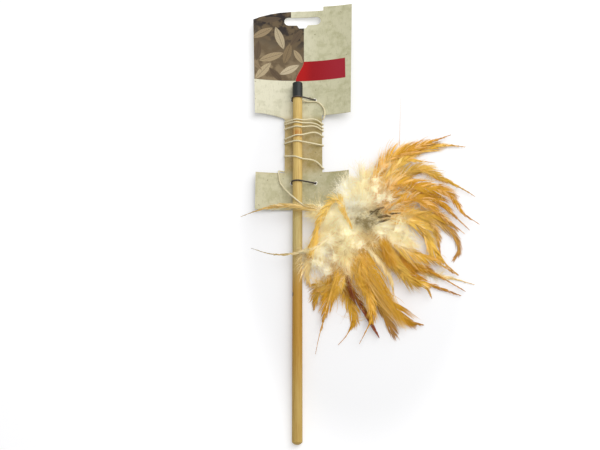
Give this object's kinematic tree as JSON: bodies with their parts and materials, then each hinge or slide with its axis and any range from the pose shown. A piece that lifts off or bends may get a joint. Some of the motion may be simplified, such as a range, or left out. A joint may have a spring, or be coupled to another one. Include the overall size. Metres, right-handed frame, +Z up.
{
  "type": "cat teaser wand",
  "caption": "Wooden wand with a black end cap, wire-tied to a die-cut hang card, its elastic cord wound round the card's neck and a lure of golden feathers at the cord's end.",
  "frame": {"origin": "middle of the object's footprint as it lies on its back, on the plane that its handle tip, lower wire tie and lowest feathers rest on", "axes": "+Y along the wand from the handle tip towards the hang slot, +X across the card towards the feather lure, +Z up out of the card's printed face"},
  "size_m": [0.1943, 0.3755, 0.0191],
  "materials": {
    "stick": "thin clear varnish",
    "cap": "gloss",
    "cord": "covered elastic",
    "card": "recycled board, matte",
    "tie": "sheathed wire",
    "quill": "dried glue",
    "thread": "wound thread",
    "feather_gold": "silky",
    "feather_pale": "silky",
    "feather_brown": "silky",
    "feather_tan": "silky",
    "down": "fluffy",
    "down_dark": "fluffy"
  },
  "bodies": {
    "card_set": {"card": "card", "tie_upper": "tie", "tie_lower": "tie", "cord_winding": "cord"},
    "wand": {"stick": "stick", "end_cap": "cap", "cord_anchor": "cord", "cord_lead": "cord"},
    "lure": {"cord_tail": "cord", "lure_knot": "cord", "lure_neck": "quill", "lure_thread": "thread", "lure_bead": "quill", "hackle_01": "feather_gold", "hackle_02": "feather_gold", "hackle_03": "feather_gold", "hackle_04": "feather_gold", "hackle_05": "feather_gold", "hackle_06": "feather_gold", "hackle_07": "feather_gold", "hackle_08": "feather_gold", "hackle_09": "feather_gold", "hackle_10": "feather_tan", "hackle_11": "feather_tan", "hackle_12": "feather_gold", "hackle_13": "feather_gold", "hackle_14": "feather_gold", "hackle_15": "feather_gold", "hackle_16": "feather_pale", "hackle_17": "feather_gold", "hackle_18": "feather_gold", "hackle_19": "feather_tan", "hackle_20": "feather_brown", "hackle_21": "feather_gold", "hackle_22": "feather_gold", "hackle_23": "feather_gold", "hackle_24": "feather_gold", "hackle_25": "feather_gold", "hackle_26": "feather_pale", "hackle_27": "feather_pale", "hackle_28": "feather_pale", "hackle_29": "feather_gold", "hackle_30": "feather_pale", "hackle_31": "feather_tan", "down_01": "down", "down_02": "down", "down_03": "down", "down_04": "down", "down_05": "down", "down_06": "down_dark", "down_07": "down"}
  },
  "joints": [
    {"name": "lure_swing", "type": "hinge", "parent": "card_set", "child": "lure", "pos_m": [-0.0666, 0.0302, 0.002], "axis": [0, 0, 1], "range_deg": [0, 30], "deforming": ["cord_tail"]},
    {"name": "wand_slide", "type": "slide", "parent": "card_set", "child": "wand", "axis": [0, 0.9999, 0.012], "range_m": [0, 0.006], "deforming": ["cord_lead"]}
  ]
}
